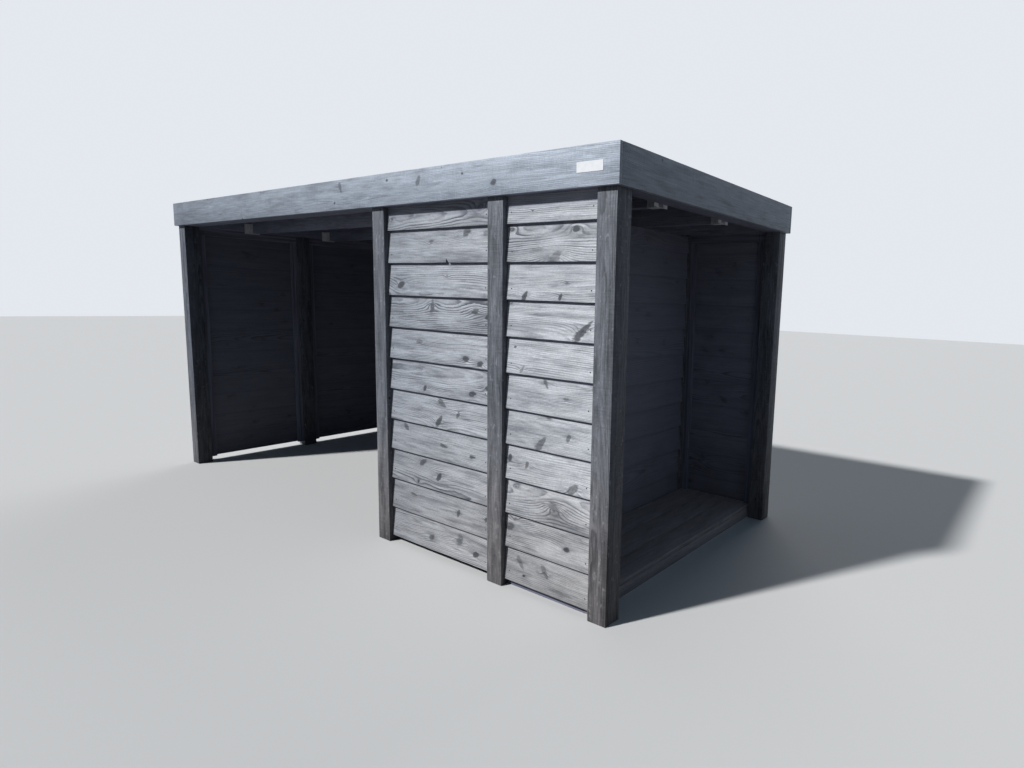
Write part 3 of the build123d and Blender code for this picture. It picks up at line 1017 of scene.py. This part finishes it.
def framing_material(name, colour, grain_axis, rails_from=None):
    """Black-stained timber of the CAD nodes: its grain runs along one axis, and level in the top rails."""
    material, tree, shader = new_material(name)
    where = object_place(tree)
    stretch = [60.0, 60.0, 60.0]
    stretch["xyz".index(grain_axis)] = 2.0
    fibres = noise_of(tree, where, tuple(stretch), 4.0)
    if rails_from is not None:
        in_rail = math_of(tree, "GREATER_THAN", parts_of(tree, where)["Z"], rails_from)
        rail_fibres = noise_of(tree, where, (2.0, 2.0, 60.0), 4.0)
        fibres = math_of(tree, "MULTIPLY_ADD", in_rail, math_of(tree, "SUBTRACT", rail_fibres, fibres), fibres)
    dark = tuple(0.55 * part for part in colour)
    tone = mix_of(tree, range_of(tree, fibres, 0.35, 0.65), (*dark, 1), (*colour, 1))
    tree.links.new(tone, shader.inputs["Base Color"])
    tree.links.new(range_of(tree, fibres, 0.3, 0.7, 0.9, 0.75), shader.inputs["Roughness"])
    add_relief(tree, shader, fibres, 0.4, 0.0006)
    return material


board_finish = timber_material(
    "weathered_boards", (0.540, 0.560, 0.598), (0.085, 0.096, 0.120), (0.024, 0.028, 0.037), 0.0085, 1.1,
    sheen_fade_low_tones=(0.90, 0.54), sheen_fade_left_tone=0.52, sheen_fade_left_span=(0.6, 2.2), sheen=0.45, eaves_shade=0.55)
fascia_finish = timber_material(
    "weathered_fascia", (0.405, 0.457, 0.535), (0.115, 0.14, 0.18), (0.040, 0.046, 0.060), 0.007, 0.85,
    loose_knots=0.8, sheen_fade_left_tone=0.37, sheen=0.6, saw=0.15)
post_finish = timber_material(
    "stained_posts", (0.162, 0.172, 0.196), (0.040, 0.044, 0.054), (0.025, 0.028, 0.034), 0.006, 0.7,
    loose_knots=0.6, sheen_fade_low_tones=(0.9, 0.9), sheen_fade_left_tone=0.70, sheen=0.2, saw=0.18, streaks=0.42, bands=0.30,
    specks=0.5, bounce_tint=(1.12, 1.0, 0.90))
frame_finish = timber_material(
    "stained_framing", SKY_TINTED_STAIN_BLACK, (0.07, 0.073, 0.10), (0.03, 0.03, 0.04), 0.006, 0.7, loose_knots=1.0)
floor_finish = timber_material(
    "stained_floor", (0.25, 0.25, 0.28), (0.11, 0.11, 0.125), (0.04, 0.04, 0.045), 0.006, 0.7, loose_knots=1.0)
rails_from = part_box("rear_wall_battens")[1].z - RAIL_HEIGHT
upright_finish = framing_material("stained_battens", SKY_TINTED_STAIN_BLACK, "z", rails_from)
bearer_finish = framing_material("stained_bearers", SKY_TINTED_STAIN_BLACK, "x")
nail_finish = plain_material("nail_steel", (0.05, 0.05, 0.055), (0.11, 0.105, 0.10), 300.0, 0.6, 0.5)
zinc_finish = plain_material("zinc_coated_steel", (0.62, 0.63, 0.66), (0.50, 0.51, 0.54), 60.0, 0.65, 0.15)
sheet_finish = plain_material("black_roof_sheet", (0.030, 0.030, 0.032), (0.055, 0.055, 0.056), 6.0, 0.75)
plate_finish = plain_material("white_plate", (0.86, 0.87, 0.89), (0.80, 0.81, 0.83), 40.0, 0.35)


def finish_piece(piece, material):
    """One material all over a piece."""
    piece.data.materials.clear()
    piece.data.materials.append(material)


# Modelled pieces: flat sides between smooth arrises, and all of them on the one body
for group, material in (
    (cladding, board_finish),
    (nails, nail_finish),
    (posts, post_finish),
    (framing, frame_finish),
    (fascias, fascia_finish),
    ([deck], frame_finish),
    ([store_floor, floor_edge], floor_finish),
    ([sheet], sheet_finish),
    ([plate], plate_finish),
):
    for piece in group:
        finish_piece(piece, material)
        select_only(piece)
        bpy.ops.object.shade_smooth_by_angle(angle=math.radians(SMOOTH_ANGLE))
        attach(piece, "root")

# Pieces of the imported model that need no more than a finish
for node, material in (
    ("front_wall_battens", upright_finish),
    ("rear_wall_battens", upright_finish),
    ("left_wall_battens", upright_finish),
    ("partition_battens", upright_finish),
    ("store_floor_bearers", bearer_finish),
    ("purlin_hangers", zinc_finish),
):
    finish_piece(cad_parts[node], material)

# Floor, light and camera. The camera and reflections see a pale floor and sky, which are dimmer where
# they light the timber
FLOOR_SIZE = 60
GROUND_SEEN = (0.56, 0.56, 0.555, 1)
GROUND_LIT = (0.122, 0.119, 0.115, 1)
SKY_SEEN = (0.90, 0.94, 1.0, 1)
SKY_LIGHT = (0.43, 0.68, 1.0, 1)
SKY_SEEN_STRENGTH = 0.86
SKY_LIGHT_STRENGTH = 0.112


def seen_directly(tree):
    """1 for what the camera and reflections see, and 0 for what only sends light."""
    paths = tree.nodes.new("ShaderNodeLightPath")
    return math_of(tree, "MAXIMUM", paths.outputs["Is Camera Ray"], paths.outputs["Is Glossy Ray"])


clear_selection()
bpy.ops.mesh.primitive_plane_add(size=FLOOR_SIZE, location=(0, 0, 0))
ground = name_piece(bpy.context.object, "ground")
ground_finish, tree, shader = new_material("pale_ground")
tree.links.new(mix_of(tree, seen_directly(tree), GROUND_LIT, GROUND_SEEN), shader.inputs["Base Color"])
shader.inputs["Roughness"].default_value = 0.9
shader.inputs["Specular IOR Level"].default_value = 0.1
finish_piece(ground, ground_finish)
ground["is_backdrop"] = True


def add_sun(name, towards, strength, softness):
    """A distant lamp that shines from the direction of a vector."""
    lamp = bpy.data.lights.new(name, "SUN")
    lamp.energy = strength
    lamp.angle = math.radians(softness)
    holder = bpy.data.objects.new(name, lamp)
    holder.rotation_euler = Vector(towards).to_track_quat("Z", "Y").to_euler()
    bpy.context.collection.objects.link(holder)


add_sun("key_light", towards=(-0.352, -0.662, 0.661), strength=4.2, softness=3.5)
add_sun("rear_fill", towards=(-0.35, 1.0, 0.75), strength=0.8, softness=45)

world = bpy.data.worlds.new("studio")
bpy.context.scene.world = world
world.use_nodes = True
tree = world.node_tree
background = tree.nodes["Background"]
seen = seen_directly(tree)
strength = range_of(tree, seen, 0.0, 1.0, SKY_LIGHT_STRENGTH, SKY_SEEN_STRENGTH, False)
tree.links.new(mix_of(tree, seen, SKY_LIGHT, SKY_SEEN), background.inputs["Color"])
tree.links.new(strength, background.inputs["Strength"])

# The camera stands where the fitted view puts it, beside the front right corner
CAMERA_PLACE = (3.6716, -3.0375, 1.4578)
CAMERA_YAW = 34.482
CAMERA_PITCH = -7.741
CAMERA_ROLL = 1.889
FOCAL_PIXELS = 622.24
FRAME_WIDTH = 1024
FRAME_HEIGHT = 768
CENTRE_X = 629.32
CENTRE_Y = 383.64

yaw = math.radians(CAMERA_YAW)
pitch = math.radians(CAMERA_PITCH)
roll = math.radians(CAMERA_ROLL)
forward = Vector((-math.sin(yaw) * math.cos(pitch), math.cos(yaw) * math.cos(pitch), math.sin(pitch)))
right = Vector((math.cos(yaw), math.sin(yaw), 0))
up = right.cross(forward)
side = math.cos(roll) * right + math.sin(roll) * up
head = -math.sin(roll) * right + math.cos(roll) * up
camera = bpy.data.objects.new("camera", bpy.data.cameras.new("camera"))
camera.data.sensor_width = 36
camera.data.lens = FOCAL_PIXELS / FRAME_WIDTH * camera.data.sensor_width
camera.data.shift_x = (FRAME_WIDTH / 2 - CENTRE_X) / FRAME_WIDTH
camera.data.shift_y = (CENTRE_Y - FRAME_HEIGHT / 2) / FRAME_WIDTH
camera.matrix_world = Matrix.Translation(CAMERA_PLACE) @ Matrix((side, head, -forward)).transposed().to_4x4()
bpy.context.collection.objects.link(camera)
bpy.context.scene.camera = camera
bpy.context.scene.view_settings.view_transform = "Standard"

# Bounds of the dressed shelter
low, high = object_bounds()
